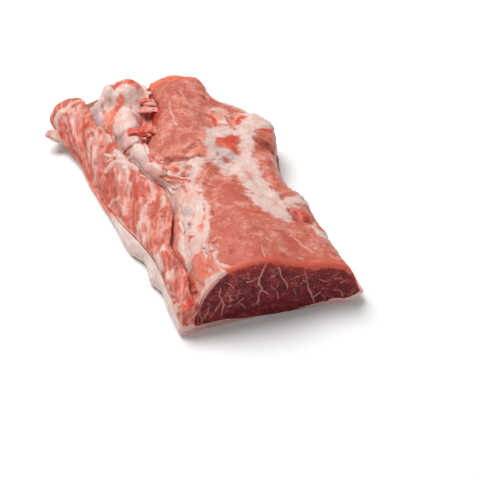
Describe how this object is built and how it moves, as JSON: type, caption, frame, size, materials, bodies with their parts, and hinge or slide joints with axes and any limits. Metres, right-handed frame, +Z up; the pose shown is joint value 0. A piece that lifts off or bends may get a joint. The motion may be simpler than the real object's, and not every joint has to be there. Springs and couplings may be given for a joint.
{
  "type": "raw pork loin",
  "caption": "Raw boneless pork loin lying on its fat cap with the rib side up, its front end freshly cut to show dark marbled lean, a streaky rib strip along its left side and seam fat between.",
  "frame": {"origin": "on the surface that the loin lies on, under the middle of its box", "axes": "+Y along the loin away from its cut face, +Z up, +X towards the edge away from the rib strip"},
  "size_m": [0.2082, 0.3398, 0.0611],
  "materials": {
    "lean": "moist raw lean meat, fine grained",
    "rib_lean": "moist raw lean meat with pale streaks",
    "fat": "smooth raw fat, slightly waxy"
  },
  "bodies": {
    "root": {"eye_muscle": "lean", "rib_strip": "rib_lean", "fat_cap": "fat"}
  },
  "joints": []
}
